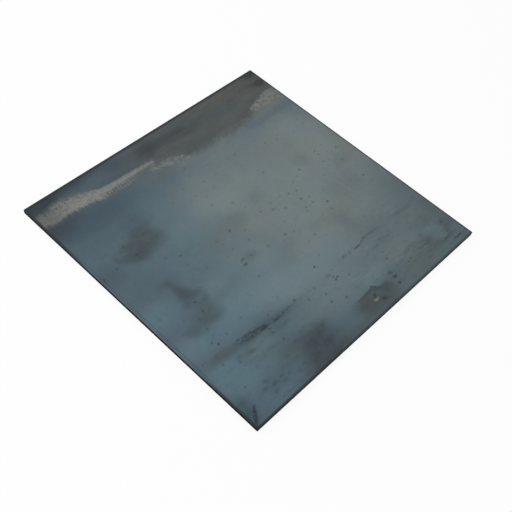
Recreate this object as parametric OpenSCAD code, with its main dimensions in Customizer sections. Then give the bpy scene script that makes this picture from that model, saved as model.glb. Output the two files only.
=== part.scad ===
// Square of hot-rolled mild steel plate, cut from a wider plate on a guillotine shear.
// One solid. The four cuts were made from above, so every edge has the same section:
// a lip dragged down by the blade, an upright burnished land, and a torn face below it.
// Millimetres. The plate lies flat on Z = 0, centred on the origin, rolled along X.

/* [Plate] */
// Length along the rolling direction
plate_length = 304.8; // [50:0.1:1500]
// Width across the rolling direction
plate_width = 304.8; // [50:0.1:1500]
// Gauge thickness
plate_thickness = 4.76; // [3:0.01:25]

/* [Sheared edge] */
// How far in from the edge the blade dragged the top face down
rollover_width = 1.5; // [0.6:0.05:3]
// How deep the dragged lip is at the edge
rollover_depth = 0.3; // [0.1:0.01:0.5]
// Height of the burnished land under the lip
land_height = 1.3; // [0.3:0.05:2]
// How far the torn face slopes in by the time it meets the bottom face
tear_setback = 0.2; // [0.05:0.01:0.6]
// Radius of the four upright corners
corner_radius = 0.5; // [0.2:0.05:5]

/* [Hidden] */
$fn = 96;

// Height at which the burnished land ends and the torn face begins
land_bottom = plate_thickness - rollover_depth - land_height;
// Radius of the arc that leaves the top face level and drops the lip by its depth over its width
lip_radius = (pow(rollover_width, 2) + pow(rollover_depth, 2)) / (2 * rollover_depth);
// How far a cutting shape reaches past the face that it cuts
overcut = 1;
scale_blue = [0.36, 0.43, 0.47];

// What the blade's drag takes off one top corner of a section whose edge is at x = 0
module dragged_corner() {
    difference() {
        translate([-rollover_width, -rollover_depth])
            square([rollover_width + overcut, rollover_depth + overcut]);
        translate([-rollover_width, -lip_radius])
            circle(lip_radius);
    }
}

// Section from one sheared edge to the opposite one, standing on y = 0 and centred on x = 0
module sheared_section(span) {
    difference() {
        polygon([
            [-span / 2 + tear_setback, 0],
            [span / 2 - tear_setback, 0],
            [span / 2, land_bottom],
            [span / 2, plate_thickness],
            [-span / 2, plate_thickness],
            [-span / 2, land_bottom]
        ]);
        for (side = [0, 1])
            mirror([side, 0])
                translate([span / 2, plate_thickness])
                    dragged_corner();
    }
}

// Outline seen from above, with the corners just blunted
module blunted_outline() {
    square([plate_length - 2 * corner_radius, plate_width], center = true);
    square([plate_length, plate_width - 2 * corner_radius], center = true);
    for (x = [-1, 1], y = [-1, 1])
        translate([x * (plate_length / 2 - corner_radius), y * (plate_width / 2 - corner_radius)])
            circle(corner_radius);
}

// The plate, as two pairs of shear cuts made at right angles
module steel_plate() {
    color(scale_blue)
        intersection() {
            rotate([90, 0, 90])
                linear_extrude(plate_length, center = true)
                    sheared_section(plate_width);
            rotate([90, 0, 0])
                linear_extrude(plate_width, center = true)
                    sheared_section(plate_length);
            linear_extrude(plate_thickness)
                blunted_outline();
        }
}

steel_plate();
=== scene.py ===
import math
import random

import bmesh
import bpy
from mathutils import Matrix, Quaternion, Vector, kdtree, noise


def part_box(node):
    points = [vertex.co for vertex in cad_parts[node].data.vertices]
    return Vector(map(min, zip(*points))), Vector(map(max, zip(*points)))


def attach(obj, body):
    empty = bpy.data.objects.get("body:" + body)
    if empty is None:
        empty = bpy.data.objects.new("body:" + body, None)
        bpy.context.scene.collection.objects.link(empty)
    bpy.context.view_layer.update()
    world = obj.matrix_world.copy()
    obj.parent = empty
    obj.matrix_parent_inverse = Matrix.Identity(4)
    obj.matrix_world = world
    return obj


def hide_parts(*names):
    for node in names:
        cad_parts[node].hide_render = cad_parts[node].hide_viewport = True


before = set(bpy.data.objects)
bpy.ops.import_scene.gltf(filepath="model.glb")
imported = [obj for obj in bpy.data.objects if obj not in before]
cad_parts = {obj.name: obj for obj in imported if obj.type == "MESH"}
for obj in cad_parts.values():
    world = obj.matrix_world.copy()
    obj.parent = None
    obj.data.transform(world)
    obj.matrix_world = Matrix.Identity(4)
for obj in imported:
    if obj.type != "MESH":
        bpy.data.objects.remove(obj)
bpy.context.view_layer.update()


# The plate is one square of hot-rolled mild steel, sheared from a wider plate on all four sides.
# The blade left the same section on every edge: a lip dragged down from the top face, an upright
# burnished land, and a torn face that slopes in below it. Sizes here are millimetres.
MM = 0.001
low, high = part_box("steel_plate")
side = (high.x - low.x) / MM
half = side / 2
gauge = (high.z - low.z) / MM
lip_width = 1.5
lip_drop = 0.3
land_height = 1.3
tear_setback = 0.2
corner_radius = 0.5
corner_steps = 3
top_cells = 264
lip_rows = 4
land_rows = 2
torn_rows = 4
slack = 0.01
SCALED, SHEARED = 0, 1

plate = bmesh.new()
pitted = plate.verts.layers.float.new("pitted")
bmesh.ops.create_grid(plate, x_segments=top_cells, y_segments=top_cells, size=half - lip_width)
bmesh.ops.translate(plate, vec=(0, 0, gauge), verts=plate.verts)


def next_ring(rim, reach, height, finish):
    """Extrudes the open rim into a square ring of that half-width and height, and returns the new rim."""
    grown = bmesh.ops.extrude_edge_only(plate, edges=rim)["geom"]
    points = [part for part in grown if isinstance(part, bmesh.types.BMVert)]
    stretch = reach / max(point.co.x for point in points)
    bmesh.ops.scale(plate, vec=(stretch, stretch, 1), verts=points)
    bmesh.ops.translate(plate, vec=(0, 0, height - points[0].co.z), verts=points)
    for part in grown:
        if isinstance(part, bmesh.types.BMFace):
            part.material_index = finish
    return [part for part in grown if isinstance(part, bmesh.types.BMEdge) and part.is_boundary]


rim = [edge for edge in plate.edges if edge.is_boundary]
lip_radius = (lip_width ** 2 + lip_drop ** 2) / (2 * lip_drop)
lip_angle = math.asin(lip_width / lip_radius)
for row in range(1, lip_rows + 1):
    angle = lip_angle * row / lip_rows
    reach = half - lip_width + lip_radius * math.sin(angle)
    rim = next_ring(rim, reach, gauge - lip_radius * (1 - math.cos(angle)), SCALED)
land_top = gauge - lip_drop
land_bottom = land_top - land_height
for row in range(1, land_rows + 1):
    rim = next_ring(rim, half, land_top - land_height * row / land_rows, SHEARED)
for row in range(1, torn_rows + 1):
    share = row / torn_rows
    rim = next_ring(rim, half - tear_setback * share, land_bottom * (1 - share), SHEARED)

# The underside is level, so a coarser grid closes it
bottom_border = 3
bottom_cells = top_cells // 4
bmesh.ops.create_grid(plate, x_segments=bottom_cells, y_segments=bottom_cells,
                      size=half - tear_setback - bottom_border)
bmesh.ops.bridge_loops(plate, edges=[edge for edge in plate.edges if edge.is_boundary])


def at_corner(point):
    """Whether a point lies on one of the four upright corners of the cut edge."""
    on_diagonal = abs(abs(point.co.x) - abs(point.co.y)) < slack
    return on_diagonal and abs(point.co.x) > half - 2 * tear_setback and point.co.z < land_top + slack


upright = [
    edge for edge in plate.edges
    if all(at_corner(point) for point in edge.verts) and edge.verts[0].co.z != edge.verts[1].co.z
]
bmesh.ops.bevel(plate, geom=upright, offset=corner_radius, offset_type="OFFSET", segments=corner_steps,
                profile=0.5, affect="EDGES", material=-1)
bmesh.ops.recalc_face_normals(plate, faces=plate.faces)

# Pits where bits of scale were rolled in and fell out again: x, y and how dark and deep each is, up to 1
pits = [
    (3, -75.5, 1.0), (11, -97.5, 0.8), (8, -95, 0.5), (5, -92, 0.5), (56, -11.5, 0.9), (73.5, -31, 0.8),
    (-25, 7, 0.8), (8.5, -98.5, 0.8), (-105.5, -29.5, 0.8), (-120, -74, 0.9), (-123.5, -69.5, 0.7),
    (11.5, -31, 0.7), (0, -118, 0.7), (-108.5, 43.5, 0.7), (7, -91, 0.6), (83, 15.5, 0.6), (114, 17.5, 0.6),
    (136, 12, 0.6), (128.5, -32, 0.6), (-80, 16.5, 0.6), (-131.5, -92, 0.6), (-118.5, -99, 0.6),
    (-74.5, -109, 0.6), (-14, -112.5, 0.6), (63, -116, 0.6), (-12, -30, 0.5), (51.5, 1, 0.5), (35.5, -9, 0.5),
    (61.5, -21.5, 0.5), (-106, -41.5, 0.5), (-108, -72.5, 0.5), (-12, -102.5, 0.5), (-15, -91, 0.5),
    (-28, -96, 0.5), (-39, -122, 0.5), (-52, -139, 0.5), (-117, -57.5, 0.5), (-38, -88, 0.5), (14, 3, 0.5),
    (25, -2.5, 0.5), (27, -3, 0.3), (-16.5, 40, 0.4), (-1, 67, 0.4), (-20, 60, 0.4), (29, 4.5, 0.3),
    (42, 5, 0.3), (61, -1.5, 0.4), (64, -14.5, 0.4), (52, -22, 0.4), (49, -26, 0.4), (70, -40, 0.4),
    (114.5, 23, 0.4), (111, 6.5, 0.4), (127.5, -4, 0.4), (20.5, -34, 0.4), (-20, -13, 0.4), (-14, -2.5, 0.4),
    (-126, -38, 0.4), (-114, -45, 0.4), (-136, -47, 0.4), (-141, -22.5, 0.4), (-132.5, 43, 0.5),
    (-149, 41.5, 0.8), (-92, 22.5, 0.4), (-144, -80, 0.4), (-132.5, -119, 0.4), (6, -78, 0.4),
    (22, -103, 0.4), (74, -95.5, 0.4), (139, -123, 0.5), (33, -50, 0.4), (-42, -48, 0.4), (-44, 5.5, 0.4),
    (1.5, 30, 0.4), (53, 37, 0.4), (33, -86, 0.4), (-87, -68.5, 0.4),
]
pit_depth = 0.12
pit_spill = 0.7
stray_pits = 220
stray_border = 4
stray_far_limit = 95
faintest_stray, darkest_stray = 0.06, 0.28
scatter = random.Random(7)
for stray in range(stray_pits):
    spot = (scatter.uniform(-half + stray_border, half - stray_border),
            scatter.uniform(-half + stray_border, stray_far_limit))
    pits.append((*spot, scatter.uniform(faintest_stray, darkest_stray)))
top_points = [point for point in plate.verts if point.co.z > gauge - slack]
finder = kdtree.KDTree(len(top_points))
for index, point in enumerate(top_points):
    finder.insert(point.co, index)
finder.balance()
for pit_x, pit_y, pit_strength in pits:
    centre = top_points[finder.find(Vector((pit_x, pit_y, gauge)))[1]]
    around = [edge.other_vert(centre) for edge in centre.link_edges]
    for point in around:
        point[pitted] = max(point[pitted], pit_spill * pit_strength * scatter.uniform(0.5, 1.0))
    centre[pitted] = max(centre[pitted], pit_strength)
    centre.co.xy = (pit_x, pit_y)

# The rolls left the top face very slightly wavy, and the blade left its edges uneven
wave_depth = 0.06
waves_along, waves_across = 0.010, 0.022
chatter_depth = 0.12
chatter_round, chatter_up = 0.5, 0.4
land_chatter = 0.3
for point in plate.verts:
    spot = point.co.copy()
    if spot.z > land_top - slack:
        wave = 0.5 + 0.5 * noise.noise(Vector((spot.x * waves_along, spot.y * waves_across, 1)))
        point.co.z -= wave_depth * wave + pit_depth * point[pitted]
    elif spot.z > slack:
        torn = 1 if spot.z < land_bottom else land_chatter
        spread = Vector((spot.x * chatter_round, spot.y * chatter_round, spot.z * chatter_up))
        pull = chatter_depth * torn * abs(noise.noise(spread)) / half
        point.co.x -= spot.x * pull
        point.co.y -= spot.y * pull
bmesh.ops.scale(plate, vec=(MM, MM, MM), verts=plate.verts)
sharpest_smooth_edge = math.radians(40)
plate_mesh = bpy.data.meshes.new("scaled_plate")
plate.to_mesh(plate_mesh)
plate.free()
plate_mesh.shade_smooth()
plate_mesh.set_sharp_from_angle(angle=sharpest_smooth_edge)
scaled_plate = bpy.data.objects.new("scaled_plate", plate_mesh)
bpy.context.scene.collection.objects.link(scaled_plate)


# Mill scale is the skin of blue-grey oxide that grew on the steel while it was rolled hot. It is paler in
# the middle, partly its own tone and partly a painted reflection of the surround, and it flaked off in one
# streak. Dirt has since dried on it in smudges and a dark band.

class Shade:
    """One socket of a finish's nodes. Operators on it add Math nodes, and node() adds any other kind."""

    def __init__(self, tree, socket=None):
        self.tree = tree
        self.socket = socket

    def node(self, kind, settings, sockets, output=0):
        """Adds a node: its settings first, then a value or a link for each socket. Returns one output."""
        made = self.tree.nodes.new("ShaderNode" + kind)
        for name, setting in settings.items():
            if name == "stops":
                while len(made.color_ramp.elements) < len(setting):
                    made.color_ramp.elements.new(0.5)
                for element, (position, level) in zip(made.color_ramp.elements, setting):
                    element.position = position
                    element.color = (level, level, level, level)
            else:
                setattr(made, name, setting)
        for name, value in sockets.items():
            if isinstance(value, Shade):
                self.tree.links.new(value.socket, made.inputs[name])
            else:
                made.inputs[name].default_value = value
        return Shade(self.tree, made.outputs[output] if made.outputs else None)

    def maths(self, operation, first, second=0):
        """One Math node, on one value or two."""
        return self.node("Math", {"operation": operation}, {0: first, 1: second})

    def __add__(self, other):
        return self.maths("ADD", self, other)

    def __radd__(self, other):
        return self.maths("ADD", other, self)

    def __sub__(self, other):
        return self.maths("SUBTRACT", self, other)

    def __rsub__(self, other):
        return self.maths("SUBTRACT", other, self)

    def __mul__(self, other):
        return self.maths("MULTIPLY", self, other)

    def __rmul__(self, other):
        return self.maths("MULTIPLY", other, self)

    def __abs__(self):
        return self.maths("ABSOLUTE", self)

    def sine(self):
        return self.maths("SINE", self)

    def vector(self, operation, other):
        """This vector or colour with another added or multiplied in, part by part."""
        return self.node("VectorMath", {"operation": operation}, {0: self, 1: other})

    def scaled(self, factor):
        """This vector or colour, larger or smaller by one factor."""
        return self.node("VectorMath", {"operation": "SCALE"}, {0: self, "Scale": factor})

    def ramp(self, start, end, most=1.0):
        """0 at start, rising smoothly to most at end; start may be the larger of the two."""
        return self.node("MapRange", {"interpolation_type": "SMOOTHSTEP", "clamp": False},
                         {"Value": self, "From Min": start, "From Max": end, "To Max": most})

    def between(self, first, second):
        """The first colour where this value is 0, turning into the second where it is 1."""
        return self.node("Mix", {"data_type": "RGBA"}, {0: self, 6: first, 7: second}, 2)

    def under(self, colour, amount):
        """This colour with another laid over it by that amount."""
        return amount.between(self, colour)


def as_seen(red, green, blue):
    """A colour as a screen shows it, from 0 to 255, in the linear light that a shader works in."""
    levels = [level / 255 for level in (red, green, blue)]
    linear = [level / 12.92 if level <= 0.04045 else ((level + 0.055) / 1.055) ** 2.4 for level in levels]
    return (*linear, 1)


def new_finish(name):
    """A material with no nodes yet, and the Shade that adds them."""
    finish = bpy.data.materials.new(name)
    finish.use_nodes = True
    finish.node_tree.nodes.clear()
    return finish, Shade(finish.node_tree)


def in_millimetres(surface):
    """The place on the plate in millimetres, for a finish's nodes to start from."""
    return surface.node("TexCoord", {}, {}, "Object").scaled(1 / MM)


def dress(surface, sockets):
    """Ends a finish with its shader."""
    shader = surface.node("BsdfPrincipled", {}, sockets)
    surface.node("OutputMaterial", {}, {"Surface": shader})


def speckle(where, lumps, detail=3, roughness=0.6):
    """Noise with about that many lumps a millimetre along each axis, as a value around a half."""
    spread = where.vector("MULTIPLY", lumps)
    sockets = {"Vector": spread, "Scale": 1, "Detail": detail, "Roughness": roughness}
    return where.node("TexNoise", {}, sockets, "Fac")


def drift(where, lumps, detail=3):
    """Noise of three values at once, each around nought, for pushing a place about or shifting a hue."""
    cloud = where.node("TexNoise", {}, {"Vector": where, "Scale": lumps, "Detail": detail}, "Color")
    along, across, up = (where.node("SeparateColor", {}, {"Color": cloud}, part) - 0.5 for part in range(3))
    return where.node("CombineXYZ", {}, {"X": along, "Y": across, "Z": up})


def wander(where, lumps, reach):
    """The same place pushed about by up to that many millimetres, so that outlines run unevenly."""
    push = drift(where, lumps).vector("MULTIPLY", (2 * reach, 2 * reach, 0))
    return where.vector("ADD", push)


def blot(where, across, up, length, width, strength, core=0.15):
    """An oval of that length along the rolling and width across it, fading from its core to its edge."""
    narrowed = (2 / length, 2 / width, 0)
    centred = (-across * 2 / length, -up * 2 / width, 0)
    oval = where.node("VectorMath", {"operation": "MULTIPLY_ADD"}, {0: where, 1: narrowed, 2: centred})
    reach = where.node("VectorMath", {"operation": "LENGTH"}, {0: oval}, "Value")
    return reach.ramp(1, core, strength)


def blots(where, ovals):
    """Several ovals added up."""
    return sum(blot(where, *oval) for oval in ovals)


def layered(where, ovals):
    """Several ovals laid over each other: where they meet, the cover thickens without an edge."""
    bare = 1
    for oval in ovals:
        bare = bare * (1 - blot(where, *oval))
    return 1 - bare


def line_across(points):
    """How far up the top face a line lies at each x, through a few points in millimetres."""
    stops = [(across / side + 0.5, up / side + 0.5) for across, up in points]
    level = x.node("ValToRGB", {"stops": stops}, {"Fac": x * (1 / side) + 0.5}, "Alpha")
    return (level - 0.5) * side


# Marks lie on the upper face only, and the three unsteady copies of the place blur or fray their outlines
mill_scale, skin = new_finish("mill_scale")
place = in_millimetres(skin)
x, y, z = (place.node("SeparateXYZ", {}, {"Vector": place}, axis) for axis in "XYZ")
upper = z.ramp(gauge * 0.4, gauge * 0.6)
soft_place = wander(place, 0.03, 7)
loose_place = wander(place, 0.07, 3)
frayed_place = wander(place, 0.2, 2)

# Each film lies over the ones before it: its colour, then x, y, length, width and strength of its ovals
slate_blue = as_seen(79, 97, 107)
pale_grey = as_seen(111, 123, 124)
bright_scale = as_seen(118, 129, 132)
# The pale middle is partly the scale's own tone and partly a painted reflection of the surround
pale_tone_and_sheen = blots(soft_place, [
    (80, 0, 310, 250, 1.0, 0.3), (-12, 52, 130, 110, 0.6), (25, -75, 170, 90, 0.55), (125, 60, 110, 80, 0.4)])
colour = pale_tone_and_sheen.between(slate_blue, pale_grey)
films = [
    # bluer towards the left
    (as_seen(93, 114, 121), [
        (-62, 0, 130, 200, 0.5), (-90, -62, 190, 56, 0.7), (-138, -20, 60, 56, 0.5),
        (-136, -100, 70, 44, 0.7), (-60, 70, 60, 50, 0.35), (-112, -118, 100, 36, 0.5),
        (-55, 33, 60, 40, 0.35), (-140, -60, 50, 40, 0.5), (-88, -102, 60, 20, 0.4)]),
    # bluest by the near left corner
    (as_seen(82, 110, 124), [
        (-85, -62, 160, 42, 0.55), (-135, -108, 70, 60, 0.5), (-115, -138, 90, 34, 0.4),
        (-140, -20, 50, 40, 0.3)]),
    # paler along the near side
    (as_seen(106, 124, 130), [
        (-30, -74, 110, 52, 0.9), (-68, -58, 110, 44, 0.45), (22, -73, 116, 52, 0.75),
        (-36, -30, 100, 80, 0.5), (-22, -50, 60, 130, 0.35), (-78, -28, 50, 40, 0.35)]),
    (as_seen(103, 120, 123), [
        (0, -106, 160, 70, 0.8), (80, -114, 100, 40, 0.5), (-92, -98, 60, 22, 0.4), (45, -72, 80, 44, 0.4),
        (40, -118, 44, 28, 0.4)]),
    # darker towards the far left
    (as_seen(65, 81, 89), [
        (-120, 106, 200, 50, 0.95), (-120, 84, 150, 50, 0.4), (-95, 146, 210, 42, 0.8),
        (-144, 40, 44, 36, 0.5), (-85, 72, 50, 40, 0.35), (-130, 8, 60, 40, 0.2),
        # the last oval below is painted shade in the near left corner
        (-148, -140, 50, 50, 0.35)]),
    (as_seen(60, 79, 92), [(-115, 100, 120, 34, 0.5)]),
    # duller above the pale streak
    (as_seen(70, 80, 86), [(-55, 134, 100, 26, 0.5)]),
    # darkest on both sides of the pale streak
    (as_seen(46, 54, 61), [
        (-148, 146, 72, 32, 0.95), (-114, 149, 80, 24, 0.75), (-75, 150, 70, 18, 0.45),
        (-46, 142, 64, 26, 0.4), (-152, 116, 104, 50, 0.75), (-55, 128, 100, 14, 0.3)]),
    # greyer towards the near right
    (as_seen(86, 99, 101), [
        (150, -90, 110, 230, 0.6), (110, -142, 160, 60, 0.3), (120, 88, 90, 16, 0.3),
        (-20, -150, 170, 22, 0.4), (80, -78, 80, 40, 0.45), (70, -60, 60, 40, 0.3),
        (100, -30, 56, 60, 0.3)]),
    # warmer along the far band and the right side
    (as_seen(111, 116, 109), [
        (150, 20, 40, 110, 0.45), (140, 0, 60, 36, 0.3), (75, -45, 60, 50, 0.3), (85, 60, 60, 50, 0.3),
        (105, 40, 40, 40, 0.3), (112, 101, 84, 28, 0.5), (144, 108, 50, 50, 0.45), (2, 101, 60, 26, 0.5),
        (85, -118, 110, 50, 0.3), (52, 98, 130, 18, 0.4)]),
    (as_seen(92, 96, 94), [
        (-29, 105, 64, 24, 0.65), (102, 99, 40, 18, 0.35), (50, -143, 200, 34, 0.3), (112, 89, 90, 14, 0.3)]),
    # greener by the near right corner
    (as_seen(88, 101, 96), [(85, -142, 120, 32, 0.3), (132, -110, 60, 50, 0.3)]),
    # a plainer grey in a few places
    (as_seen(106, 116, 114), [
        (-24, -10, 70, 90, 0.4), (105, -98, 80, 30, 0.35), (108, -76, 70, 24, 0.35),
        (125, 80, 64, 22, 0.35)]),
    # brightest in the middle, partly the scale's own tone and partly a painted reflection of the surround
    (as_seen(117, 127, 125), [
        (118, 25, 64, 64, 0.8), (0, 40, 50, 40, 0.4), (36, 88, 120, 32, 0.35), (52, 74, 100, 40, 0.2),
        (60, 16, 110, 44, 0.3), (0, -2, 56, 30, 0.45)]),
    (as_seen(113, 129, 131), [(-14, 42, 80, 40, 0.45)]),
    # faint patches of thicker scale
    (as_seen(94, 106, 108), [
        (-23, 13, 70, 24, 0.6), (-46, 3, 26, 34, 0.4), (22, 20, 34, 22, 0.4), (95, 25, 34, 24, 0.4),
        (127, -3, 40, 24, 0.4), (70, -46, 60, 26, 0.4), (45, -42, 30, 14, 0.3), (-30, -26, 30, 16, 0.35),
        (0, -42, 40, 20, 0.25), (12, 60, 44, 30, 0.3), (100, 46, 26, 18, 0.25), (116, -28, 26, 48, 0.25),
        (68, -60, 24, 34, 0.55), (40, 55, 16, 30, 0.25)]),
    # a bright fleck
    (bright_scale, [(40, -63, 4, 4, 0.4)]),
]
for film, ovals in films:
    colour = colour.under(film, blots(soft_place, ovals) * upper)

# A light scratch leans across the right of the middle
scratch_foot = 96
scratch_lean = 0.2
scratch_reach = 2
scratch = (scratch_reach - abs(x - scratch_foot + scratch_lean * y)).ramp(0, 1.8, 0.3)
scratch = scratch * y.ramp(-50, -40) * y.ramp(-4, -14)
colour = colour.under(bright_scale, scratch * upper)

# Smudges of dried dirt are wispy, so noise of many sizes thins them
wispy = 0.73 + 0.5 * speckle(loose_place, (0.04, 0.08, 0.1), 4, 0.5).ramp(0.3, 0.7)
smudges = [
    # the far left smudge
    (as_seen(62, 67, 72), [
        (-102, 48, 58, 40, 0.55), (-110, 56, 20, 14, 0.35), (-106, 39, 32, 18, 0.45),
        (-88, 52, 46, 32, 0.45), (-86, 65, 46, 12, 0.35), (-126, 50, 9, 16, 0.45), (-118, 44, 28, 16, 0.3),
        (-92, 59, 44, 16, 0.35), (-80, 44, 36, 26, 0.15)]),
    # the crooked one by the left side
    (as_seen(61, 71, 77), [
        (-114, 2, 22, 14, 0.4), (-110, -2, 15, 18, 0.35), (-109, -8, 16, 32, 0.45), (-106, -19, 26, 28, 0.6),
        (-97, -23, 22, 12, 0.45), (-94, -31, 14, 18, 0.35), (-112, -28, 16, 12, 0.35),
        (-102, -36, 26, 20, 0.4), (-108, -47, 36, 26, 0.55), (-98, -48, 28, 26, 0.35),
        (-128, -51, 26, 18, 0.45), (-117, -52, 58, 26, 0.3), (-104, 0, 30, 30, 0.2),
        (-109, -50, 20, 16, 0.3)]),
    # the dark one on the near side
    (as_seen(54, 59, 63), [
        (-56, -134, 70, 56, 0.6), (-56, -122, 44, 26, 0.35), (-57, -139, 46, 38, 0.35),
        (-60, -146, 66, 36, 0.8), (-42, -122, 36, 24, 0.28), (-72, -148, 80, 26, 0.3),
        (-25, -149, 70, 18, 0.45), (-36, -142, 40, 28, 0.25)]),
    # greener beside two of them
    (as_seen(70, 82, 82), [(-80, -122, 40, 30, 0.45), (-84, 44, 34, 24, 0.25)]),
    # the brown ones by the near right corner
    (as_seen(71, 74, 74), [
        (110, -127, 26, 16, 0.55), (112, -137, 34, 16, 0.4), (96, -124, 30, 14, 0.35),
        (90, -135, 26, 20, 0.2), (130, -140, 40, 9, 0.4), (142, -126, 20, 24, 0.4), (136, -134, 10, 16, 0.4),
        (138, -146, 40, 6, 0.35), (146, -100, 20, 48, 0.2)]),
    # haze round the grit, bluer towards the left
    (as_seen(66, 77, 80), [
        (-126, -85, 44, 16, 0.5), (60, -87, 90, 9, 0.15), (115, -87, 54, 8, 0.15), (-72, -89.5, 84, 9, 0.35),
        (-106, -98, 30, 8, 0.35)]),
    (as_seen(56, 70, 78), [
        (-92, -88, 84, 18, 0.22), (-50, -90, 80, 14, 0.2), (-34, -27, 28, 14, 0.2),
        # the second oval below is painted shade by the near left corner
        (-108, -132, 70, 28, 0.25), (-148, -130, 24, 36, 0.5), (-70, -98, 80, 14, 0.15)]),
    # soft specks by the near left corner
    (as_seen(54, 64, 74), [
        (-117, -126, 8, 5, 0.4), (-122, -132, 9, 5, 0.4), (-112, -133, 9, 5, 0.45), (-102, -131, 9, 5, 0.4),
        (-97, -128, 8, 5, 0.3), (-103, -137, 8, 6, 0.4), (-115, -139, 9, 6, 0.4), (-95, -134, 8, 5, 0.35),
        (-88, -140, 8, 6, 0.35), (-80, -138, 8, 6, 0.3), (-85, -123, 9, 6, 0.35), (-116, -96, 12, 7, 0.3),
        (-104, -99, 12, 5, 0.3), (-78, -98.5, 12, 5, 0.25), (-60, -99, 10, 5, 0.3)]),
    # an olive spot
    (as_seen(80, 88, 83), [(-127, -85, 18, 11, 0.3)]),
]
for smudge, ovals in smudges:
    colour = colour.under(smudge, layered(loose_place, ovals) * wispy * upper)

# Dirt dragged along the near side in thin lines, and a patch that was wiped clean
dragged = speckle(frayed_place, (0.08, 0.3, 0.1), 4, 0.65).ramp(0.5, 0.7) * y.ramp(-60, -105)
dragged_cover = 0.2 + 0.2 * x.ramp(20, 70) + 0.25 * blot(place, 115, -135, 100, 50, 1)
colour = colour.under(as_seen(66, 77, 79), dragged * dragged_cover * upper)
clear_patch = blots(loose_place, [(126, -126, 22, 28, 0.55), (118, -120, 18, 12, 0.4)])
colour = colour.under(as_seen(91, 113, 118), clear_patch * upper)

# The dark band of dried dirt along the far edge
band_edge = line_across([
    (-50, 130), (-28, 126), (-20, 120), (-8, 112), (5, 107), (14, 101), (20, 99), (30, 97.5), (42, 99.5),
    (60, 98), (75, 96.5), (92, 96.5), (99, 99.5), (105, 103), (112, 106), (122, 108), (132, 111), (142, 114),
    (152, 112)])
ragged_reach = 20
broken_reach = 10
ragged = (speckle(place, (0.1, 0.1, 0.1), 5, 0.65) - 0.5) * ragged_reach
broken = (speckle(place, (0.3, 0.3, 0.3), 3, 0.6) - 0.5) * broken_reach
band = (y - band_edge + ragged + broken).ramp(-6, 7) * (x + ragged).ramp(-58, -22)
grey_dirt = as_seen(74, 81, 82)
brown_dirt = as_seen(81, 81, 77)
browned = blots(soft_place, [
    (95, 144, 120, 20, 0.9), (60, 101, 150, 16, 0.45), (125, 128, 60, 34, 0.6), (-5, 122, 40, 12, 0.4)])
band_colour = browned.between(grey_dirt, brown_dirt)
thick_dirt = blots(soft_place, [
    (-17, 138, 44, 30, 0.55), (12, 133, 110, 26, 0.5), (40, 134, 64, 16, 0.3), (104, 110, 18, 10, 0.1)])
band_colour = band_colour.under(as_seen(53, 58, 63), thick_dirt)
corner_dirt = blots(soft_place, [
    (144, 131, 26, 14, 0.6), (150, 148, 48, 16, 0.9), (146, 136, 40, 40, 0.25), (127, 135, 30, 10, 0.35),
    (97, 134, 20, 8, 0.3)])
band_colour = band_colour.under(as_seen(46, 45, 44), corner_dirt)
greenish = blots(loose_place, [
    (75, 130, 60, 10, 0.35), (50, 122, 40, 8, 0.3), (95, 124, 50, 6, 0.35), (8, 120, 12, 8, 0.3)])
band_colour = band_colour.under(as_seen(70, 84, 80), greenish)
thin_dirt = blots(soft_place, [(75, 117, 110, 24, 0.45), (52, 101, 130, 14, 0.5), (118, 121, 44, 18, 0.45)])
band_colour = band_colour.under(as_seen(87, 92, 88), thin_dirt)
streaked = speckle(place, (0.03, 0.14, 0.1), 5, 0.6)
band_colour = band_colour.under(as_seen(58, 62, 62), streaked.ramp(0.55, 0.3, 0.25))
band_colour = band_colour.under(as_seen(90, 95, 92), streaked.ramp(0.48, 0.66, 0.28))
colour = colour.under(band_colour, band * upper)

# The pale streak where the scale has flaked off: wide and toothed on the left, then a narrow bright line
# with two rows of beads on its near side
streak_top = line_across([
    (-152, 137.5), (-142, 135), (-136, 136.5), (-130, 139), (-120, 140), (-110, 137.5), (-100, 134.5),
    (-95, 132), (-90, 130.3), (-84, 126.5), (-70, 124.6), (-50, 123.9), (-40, 123.2), (-30, 122.5),
    (-18, 121.2)])
streak_bottom = line_across([
    (-152, 122), (-140, 120.3), (-120, 120.5), (-110, 119), (-100, 118), (-92, 116), (-84, 113), (-70, 111.5),
    (-50, 111.5), (-38, 112), (-28, 114), (-18, 116)])
tooth_reach = 11
comb = (speckle(place, (0.36, 0.08, 0.1), 2, 0.6) - 0.5) * tooth_reach
crumbs = speckle(place, (0.3, 0.34, 0.3), 3, 0.65).ramp(0.34, 0.58)
grains = speckle(place, (0.34, 0.4, 0.4), 2, 0.6).ramp(0.42, 0.6)
wide_end = x.ramp(-86, -100)
blunt_end = x.ramp(-17, -23)
toothed_top = (streak_top - y + comb * (0.2 + 0.7 * wide_end)).ramp(-1.6, 1.8 + 2.5 * wide_end)
toothed_bottom = (y - streak_bottom + comb).ramp(-2, 2)
streak = toothed_top * toothed_bottom * blunt_end * (1 - 0.2 * x.ramp(-52, -34))
first_row, second_row = 116.7, 113
bead_rate = 1.8
bead_rows = (2.2 - abs(y - first_row)).ramp(0, 1.6) + (2.0 - abs(y - second_row)).ramp(0, 1.6, 0.8)
bead_line = (bead_rate * x + 0.5 * comb).sine().ramp(-0.6, 0.5)
beads = bead_line * bead_rows * (0.4 + 0.6 * crumbs) * x.ramp(-42, -56)
beaded_top = 118.8
beaded = (beaded_top - y).ramp(-1, 1.5) * x.ramp(-94, -80)
mottled = (y - 123).ramp(0, 12, 0.65) * (1 - grains)
streak = streak * (0.55 + 0.45 * crumbs - mottled) * (1 - beaded * (0.92 - 0.75 * beads))

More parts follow.
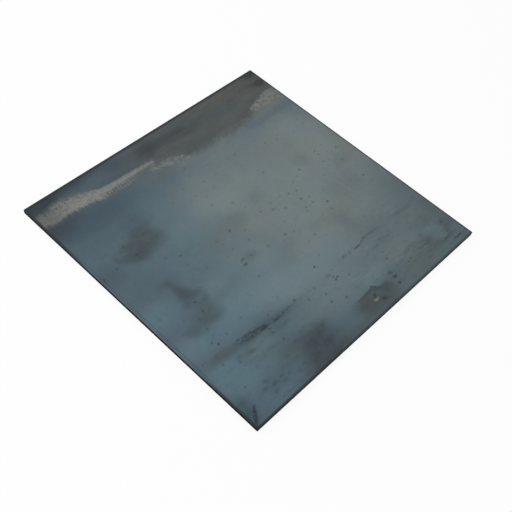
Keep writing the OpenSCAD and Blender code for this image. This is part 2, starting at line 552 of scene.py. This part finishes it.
# The streak ends in a broken tail, and one more patch flaked off at the far right
tail = blots(frayed_place, [
    (-27, 112, 11, 7, 0.9), (-22, 110.5, 11, 7, 0.9), (-14, 110, 11, 8, 1.0), (-9, 106.5, 12, 9, 1.0),
    (-7, 112, 8, 6, 0.6), (0, 107.5, 11, 8, 0.9), (6, 105.5, 10, 7, 0.8), (10, 101.5, 9, 6, 0.7),
    (-2, 103, 9, 6, 0.5), (-24, 116, 10, 6, 0.6), (-12, 109, 50, 14, 0.3)])
patch_top = line_across([
    (96, 103), (104, 107), (110, 111), (120, 113.5), (130, 116), (140, 119), (152, 117.5)])
patch_bottom = line_across([(96, 108), (110, 104), (120, 102), (130, 100), (140, 99), (152, 98)])
patch = (patch_top - y + 0.5 * comb).ramp(-1.5, 2) * (y - patch_bottom + comb).ramp(-3, 4)
patch = patch * (x + comb).ramp(94, 104)
clumps = speckle(place, (0.2, 0.22, 0.2), 3, 0.6).ramp(0.4, 0.62)
flaked = streak + 0.75 * tail * (0.4 + 0.6 * grains) + patch * (0.28 + 0.6 * clumps * x.ramp(170, 128))

# A painted shadow runs dark along the far edge of the streak, and the scale has lifted to a dull grey
# round all that flaked off
streak_shadow_line = (1 - abs(y - streak_top - 1.8) * 0.6).ramp(0, 1, 0.25) * x.ramp(-98, -86) * x.ramp(-12, -22)
colour = colour.under(as_seen(50, 55, 58), streak_shadow_line * upper)
lifted = (streak_top - y + comb).ramp(-3, 1) * (y - streak_bottom + comb).ramp(-6, 3) * x.ramp(-12, -20)
lifted = lifted + patch + blots(loose_place, [
    (-12, 112, 46, 18, 0.8), (6, 108, 30, 14, 0.5), (112, 114, 50, 8, 0.5)])
colour = colour.under(as_seen(84, 88, 86), 0.7 * lifted * upper)
flaked_grey = as_seen(133, 133, 131)
dull_grey = as_seen(108, 108, 105)
flake_colour = x.ramp(-108, -150).between(flaked_grey, dull_grey)
flake_colour = flake_colour.under(as_seen(127, 131, 129), x.ramp(-92, -76))
flake_colour = flake_colour.under(as_seen(127, 131, 124), x.ramp(-30, -10))
colour = colour.under(flake_colour, flaked * upper)

# Marks are crowds of dark grit, thicker where their ovals are stronger
black_grit = as_seen(32, 40, 46)
grit = speckle(frayed_place, (0.28, 0.4, 0.4), 3, 0.6) - 0.5
marks = [
    # the long mark on the near left
    (-86, -87.5, 36, 13, 0.65), (-105, -85, 28, 12, 0.55), (-94, -84, 18, 7, 0.4), (-97, -89, 24, 8, 0.4),
    (-78, -90, 16, 8, 0.65), (-77, -94, 12, 6, 0.3), (-62, -90.5, 26, 6, 0.6), (-49, -89.5, 20, 5, 0.55),
    (-38, -88, 6, 4, 0.6), (-68, -82, 10, 5, 0.45), (-113, -89, 10, 6, 0.4), (-60, -93, 40, 8, 0.25),
    (-74, -97, 44, 8, 0.35), (-20, -87, 30, 8, 0.25),
    # the small cluster left of the middle
    (-40, -25, 11, 5, 0.65), (-32, -26, 10, 6, 0.4), (-42, -31, 10, 5, 0.65), (-45, -28, 6, 4, 0.4),
    (-30, -28, 8, 5, 0.3),
    # by the near left corner
    (-145, -127, 15, 7, 0.35), (-117, -132, 30, 14, 0.25), (-110, -147, 54, 5, 0.4),
    # along the near side, from the stain to the right corner
    (52.5, -133.5, 9, 7, 0.9), (50, -140.5, 7, 6, 0.9), (52, -128, 14, 7, 0.65), (56, -131, 6, 5, 0.4),
    (76.5, -132, 6, 4, 0.7), (80.5, -130, 7, 4, 0.85), (108, -131, 13, 4, 0.55), (117, -135, 7, 4, 0.45),
    (108, -138, 9, 4, 0.45), (112, -142, 9, 4, 0.45), (138, -123, 9, 5, 0.6), (134, -134, 8, 8, 0.45),
    (128, -139, 22, 4, 0.5), (138, -145, 32, 4, 0.7), (95, -133, 10, 6, 0.4), (50, -101, 20, 10, 0.25),
    (13, -97, 6, 5, 0.3), (4, -147, 6, 5, 0.4),
    # beside the pale streak and the band
    (-124, 136, 6, 5, 0.5), (-116, 136, 6, 6, 0.6), (-142, 132, 6, 9, 0.4), (-72, 146, 7, 7, 0.45),
    (-98, 148, 6, 5, 0.4), (14, 98, 6, 5, 0.45), (-51, 141, 10, 8, 0.3),
]
dash_line = line_across([
    (20, -86), (36, -86), (46, -88), (56, -87), (66, -84), (80, -85), (95, -85), (104, -89), (116, -87),
    (132, -85)])
dash_strength = blots(place, [
    (56, -86, 60, 40, 0.8), (82, -86, 30, 40, 0.45), (30, -86, 18, 40, 0.5), (117, -88, 36, 40, 0.4)])
dash_gaps = speckle(place, (0.16, 0.05, 0.1), 2, 0.6).ramp(0.36, 0.56)
dash_reach = 2.2
dashed_line = (dash_reach - abs(y - dash_line)).ramp(0, 1.8) * dash_strength * (0.6 + 0.4 * dash_gaps)
mark = (blots(frayed_place, marks) + dashed_line + 1.6 * grit).ramp(0.2, 1.05, 0.7)
colour = colour.under(black_grit, mark * upper)

# A gouge runs into the near left corner, with painted shade round its end
gouge_reach = 2.4
gouge_offset = 30.4
gouge_along = 0.6 * x + 0.8 * y
gouge_across = 0.8 * x - 0.6 * y
gouge = (gouge_reach - abs(gouge_across + gouge_offset + 3 * grit)).ramp(0, 2.0, 0.7)
gouge = gouge * gouge_along.ramp(-189, -193) * gouge_along.ramp(-214, -208) * (0.8 + 2 * grit)
corner_shade = blot(soft_place, -150, -141, 24, 30, 0.35)
colour = colour.under(black_grit, (gouge + corner_shade) * upper)

# A stain with one sharp edge, and a crumb of crust on it
stain_edge = line_across([
    (-10, -134), (-5, -127), (10, -127), (22, -126.5), (26, -124.5), (29, -126.5), (32, -130.5), (36, -131.5),
    (42, -131), (48, -134)])
stain = (stain_edge - y + 0.06 * ragged).ramp(-0.8, 0.8) * blot(loose_place, 22, -138, 74, 60, 0.75, 0.25)
stain = stain * (x + ragged).ramp(58, 34)
colour = colour.under(as_seen(66, 73, 73), stain * wispy * upper)
stain_dark = blots(frayed_place, [
    (38, -135, 22, 18, 0.25), (12, -128.5, 36, 4, 0.15), (3, -137, 16, 14, 0.2), (21, -134.5, 6, 5, 0.7),
    (26, -142, 8, 6, 0.75), (30, -131, 20, 8, 0.12)])
colour = colour.under(as_seen(42, 45, 44), stain_dark * upper)
crust = blots(place, [(18.5, -138.5, 5, 4, 0.7), (21, -138, 4, 3.5, 0.5), (16.5, -137.5, 4, 3, 0.3)])
colour = colour.under(as_seen(138, 136, 112), crust * upper)

# The pits hold dirt. The edges of the face are darker as painted shade on the rolled-over lip,
# and a thin line of painted shade runs just inside the left edge
pit = place.node("Attribute", {"attribute_name": "pitted"}, {}, "Fac")
colour = colour.under(as_seen(30, 37, 40), 0.95 * pit)
lip_line_inset = 3
left_ends = y.ramp(-80, -115) + y.ramp(50, 100)
lip_shade_line = (0.8 - abs(half + x - lip_line_inset)).ramp(0, 0.6, 0.35) * (1 - left_ends)
colour = colour.under(as_seen(46, 55, 62), lip_shade_line * upper)
far_rim_shade = (half - y).ramp(4.8, 1.0, 0.95)
left_rim_shade = (half + x).ramp(3, 0.4) * (0.25 + 0.65 * left_ends)
near_rim_shade = (half + y).ramp(3, 0.4) * (0.6 + 0.3 * x.ramp(-40, -110))
colour = colour.under(as_seen(32, 36, 39), far_rim_shade + left_rim_shade + near_rim_shade)
right_rim_shade = (half - x).ramp(3, 0.4, 0.85)
colour = colour.under(as_seen(46, 43, 42), right_rim_shade)

# The whole skin is uneven in tone and hue, in clouds, mottles and fine grain
hue_spread = 0.11
cloud = speckle(place, (0.02, 0.02, 0.02), 6, 0.62)
mottle = speckle(place, (0.16, 0.2, 0.2), 3, 0.65)
fine = speckle(place, (0.5, 0.7, 0.5), 2)
tone = 0.755 + 0.24 * cloud + 0.14 * mottle + 0.13 * fine
hue = drift(place, 0.045, 7).scaled(hue_spread).vector("ADD", (1, 1, 1))
colour = colour.vector("MULTIPLY", hue).scaled(tone)
grain_height = 0.012
flake_depth = 0.04
relief = grain_height * fine - flake_depth * flaked * upper
bump = skin.node("Bump", {}, {"Height": relief, "Distance": MM, "Strength": 1}, "Normal")
dress(skin, {"Base Color": colour, "Roughness": 0.40 + 0.25 * flaked + 0.2 * cloud, "Metallic": 0.3,
             "Specular IOR Level": 0.25, "Normal": bump})

# The sheared edges are bare steel gone dark, and their colours are darker still as painted shade,
# since they face away from the light. The land shows the upright scoring that the blade left as it slid
# past, and the torn face below it is grainy and dull.
torn_black = as_seen(14, 15, 17)
torn_grey = as_seen(30, 29, 29)
land_grey = as_seen(40, 41, 43)
torn_height = 0.12
sheared_steel, cut = new_finish("sheared_steel")
cut_place = in_millimetres(cut)
scoring = speckle(cut_place, (1.2, 1.2, 0.1), 3)
grain = speckle(cut_place, (0.6, 0.6, 0.9), 3)
cut_height = cut_place.node("SeparateXYZ", {}, {"Vector": cut_place}, "Z")
land = cut_height.ramp(land_bottom - 0.3, land_bottom + 0.1)
cut_colour = grain.between(torn_black, torn_grey)
cut_colour = cut_colour.under(land_grey, land * (0.2 + 0.5 * scoring))
cut_bump = cut.node("Bump", {}, {"Height": grain * torn_height, "Distance": MM, "Strength": 1}, "Normal")
dress(cut, {"Base Color": cut_colour, "Roughness": 0.9 - 0.2 * land, "Metallic": 0,
            "Specular IOR Level": 0.06, "Normal": cut_bump})
plate_mesh.materials.append(mill_scale)
plate_mesh.materials.append(sheared_steel)
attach(scaled_plate, "root")
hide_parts("steel_plate")


# The studio floor is a wide sheet of matt white board that the plate lies flat on. It takes the plate's
# shadow, and shows nearly white to the camera. It is set a hair below the plate, so that the two faces
# never share one plane.
floor_reach = 6
floor_drop = 0.0002
floor_white = (0.98, 0.98, 0.98, 1)
floor_shown = 0.9
white = (1, 1, 1, 1)
floor_shape = bmesh.new()
bmesh.ops.create_grid(floor_shape, x_segments=1, y_segments=1, size=floor_reach)
bmesh.ops.translate(floor_shape, vec=(0, 0, -floor_drop), verts=floor_shape.verts)
floor_mesh = bpy.data.meshes.new("floor")
floor_shape.to_mesh(floor_mesh)
floor_shape.free()
floor = bpy.data.objects.new("floor", floor_mesh)
bpy.context.scene.collection.objects.link(floor)


def shown_rays(surface):
    """1 on the rays that make the picture or a reflection in it, and 0 on those that only carry light."""
    kinds = ("Is Camera Ray", "Is Glossy Ray", "Is Transmission Ray")
    return sum(surface.node("LightPath", {}, {}, kind) for kind in kinds)


floor_finish, board = new_finish("floor_white")
matt = board.node("BsdfDiffuse", {}, {"Color": floor_white})
glow = board.node("Emission", {}, {"Color": white, "Strength": 1})
shown = shown_rays(board) * floor_shown
board_shader = board.node("MixShader", {}, {0: shown, 1: matt, 2: glow})
board.node("OutputMaterial", {}, {"Surface": board_shader})
floor_mesh.materials.append(floor_finish)


# The light is plain and soft: an even white surround on all sides, and one wide softbox above the far left
# of the plate, turned towards its middle. The surround looks brighter to the camera than it lights.
surround_level = 0.62
surround_shown = 0.97
world = bpy.data.worlds.new("surround")
world.use_nodes = True
world.node_tree.nodes.clear()
sky = Shade(world.node_tree)
sky_level = surround_level + (surround_shown - surround_level) * shown_rays(sky).ramp(0, 1)
backdrop = sky.node("Background", {}, {"Color": white, "Strength": sky_level})
sky.node("OutputWorld", {}, {"Surface": backdrop})
bpy.context.scene.world = world
softbox = bpy.data.lights.new("softbox", "AREA")
softbox.shape = "SQUARE"
softbox.size = 1.4
softbox.energy = 11
softbox_stand = bpy.data.objects.new("softbox", softbox)
softbox_stand.location = (-0.7, 0.8, 1.3)
softbox_stand.rotation_euler = (-softbox_stand.location).to_track_quat("-Z", "Y").to_euler()
bpy.context.scene.collection.objects.link(softbox_stand)


# The camera looks down on the plate from over its near left corner, held a little out of level. It stands
# less than a metre away, so its 60 mm lens draws the far sides a little shorter than the near ones.
aim = Vector((-28.1, -30.5, gauge)) * MM
distance = 0.7903
azimuth = math.radians(53.72)
elevation = math.radians(52.79)
roll = math.radians(9.6)
lens = bpy.data.cameras.new("camera")
lens.lens = 60
lens.sensor_width = 36
camera = bpy.data.objects.new("camera", lens)
level_share = math.cos(elevation)
view = Vector((math.sin(azimuth) * level_share, math.cos(azimuth) * level_share, -math.sin(elevation)))
camera.location = aim - view * distance
camera.rotation_mode = "QUATERNION"
camera.rotation_quaternion = view.to_track_quat("-Z", "Y") @ Quaternion((0, 0, 1), roll)
bpy.context.scene.collection.objects.link(camera)
bpy.context.scene.camera = camera
bpy.context.scene.view_settings.view_transform = "Standard"
